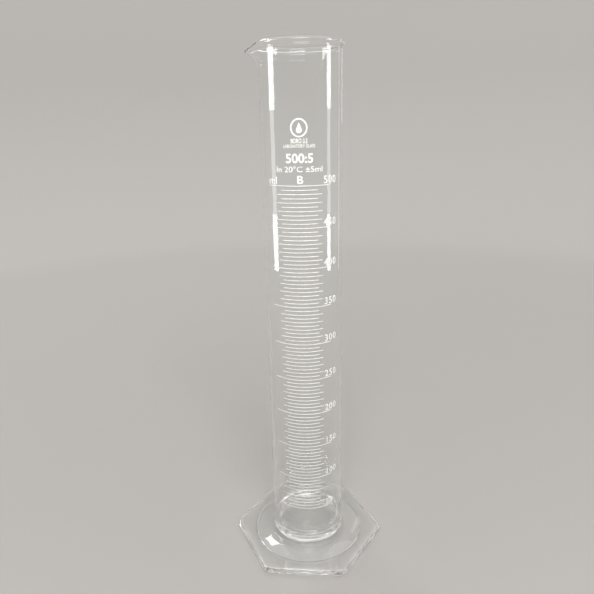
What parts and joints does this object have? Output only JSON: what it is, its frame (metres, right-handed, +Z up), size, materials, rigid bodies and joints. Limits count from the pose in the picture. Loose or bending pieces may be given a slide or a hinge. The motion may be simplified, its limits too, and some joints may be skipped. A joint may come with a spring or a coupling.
{
  "type": "graduated cylinder",
  "caption": "Tall glass measuring cylinder with a pouring spout, a white enamel millilitre scale and a fused hexagonal foot.",
  "frame": {"origin": "centre of the hexagonal foot, on the surface it stands on", "axes": "+Z up along the tube; the spout points to -X over a corner of the foot; the scale faces -Y over a flat of the foot"},
  "size_m": [0.1122, 0.099, 0.3573],
  "materials": {
    "borosilicate_glass": "clear colourless, fire-polished",
    "white_enamel": "opaque white screen-printed enamel, fired on, satin"
  },
  "bodies": {
    "root": {"measuring_tube": "borosilicate_glass", "hexagonal_foot": "borosilicate_glass", "ring_mark_50": "white_enamel", "ring_mark_100": "white_enamel", "ring_mark_150": "white_enamel", "ring_mark_200": "white_enamel", "ring_mark_250": "white_enamel", "ring_mark_300": "white_enamel", "ring_mark_350": "white_enamel", "ring_mark_400": "white_enamel", "ring_mark_450": "white_enamel", "ring_mark_500": "white_enamel", "figure_50_digit_1": "white_enamel", "figure_50_digit_2": "white_enamel", "figure_100_digit_1": "white_enamel", "figure_100_digit_2": "white_enamel", "figure_100_digit_3": "white_enamel", "figure_150_digit_1": "white_enamel", "figure_150_digit_2": "white_enamel", "figure_150_digit_3": "white_enamel", "figure_200_digit_1": "white_enamel", "figure_200_digit_2": "white_enamel", "figure_200_digit_3": "white_enamel", "figure_250_digit_1": "white_enamel", "figure_250_digit_2": "white_enamel", "figure_250_digit_3": "white_enamel", "figure_300_digit_1": "white_enamel", "figure_300_digit_2": "white_enamel", "figure_300_digit_3": "white_enamel", "figure_350_digit_1": "white_enamel", "figure_350_digit_2": "white_enamel", "figure_350_digit_3": "white_enamel", "figure_400_digit_1": "white_enamel", "figure_400_digit_2": "white_enamel", "figure_400_digit_3": "white_enamel", "figure_450_digit_1": "white_enamel", "figure_450_digit_2": "white_enamel", "figure_450_digit_3": "white_enamel", "figure_500_digit_1": "white_enamel", "figure_500_digit_2": "white_enamel", "figure_500_digit_3": "white_enamel"}
  },
  "joints": []
}
